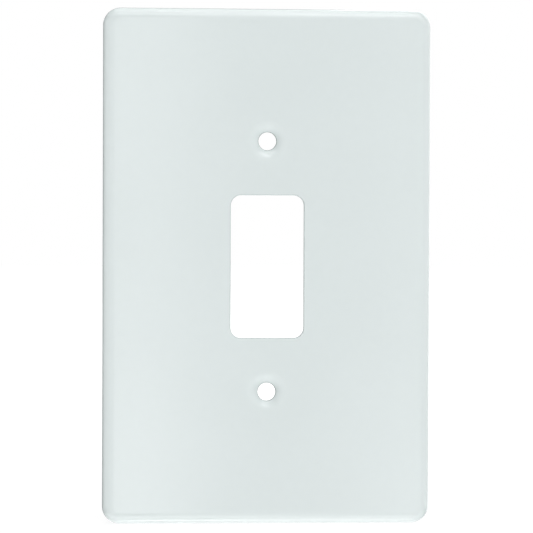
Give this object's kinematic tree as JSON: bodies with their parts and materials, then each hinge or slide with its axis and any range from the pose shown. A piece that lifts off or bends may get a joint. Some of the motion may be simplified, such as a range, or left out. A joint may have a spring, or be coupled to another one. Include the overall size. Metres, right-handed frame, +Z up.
{
  "type": "wall plate cover",
  "caption": "Upright pressed-steel wall plate cover in white enamel, with a rolled rim, a central switch window and dimpled screw holes above and below it.",
  "frame": {"origin": "centre of the plane of the skirt's rear edge, which meets the wall, midway between the two screw holes", "axes": "+Z up the plate, +X to the right of someone who faces it, +Y into the wall, so the enamelled face looks along -Y"},
  "size_m": [0.079, 0.0056, 0.124],
  "materials": {
    "white_enamel": "gloss enamel, lightly textured"
  },
  "bodies": {
    "root": {"cover_plate": "white_enamel"}
  },
  "joints": []
}
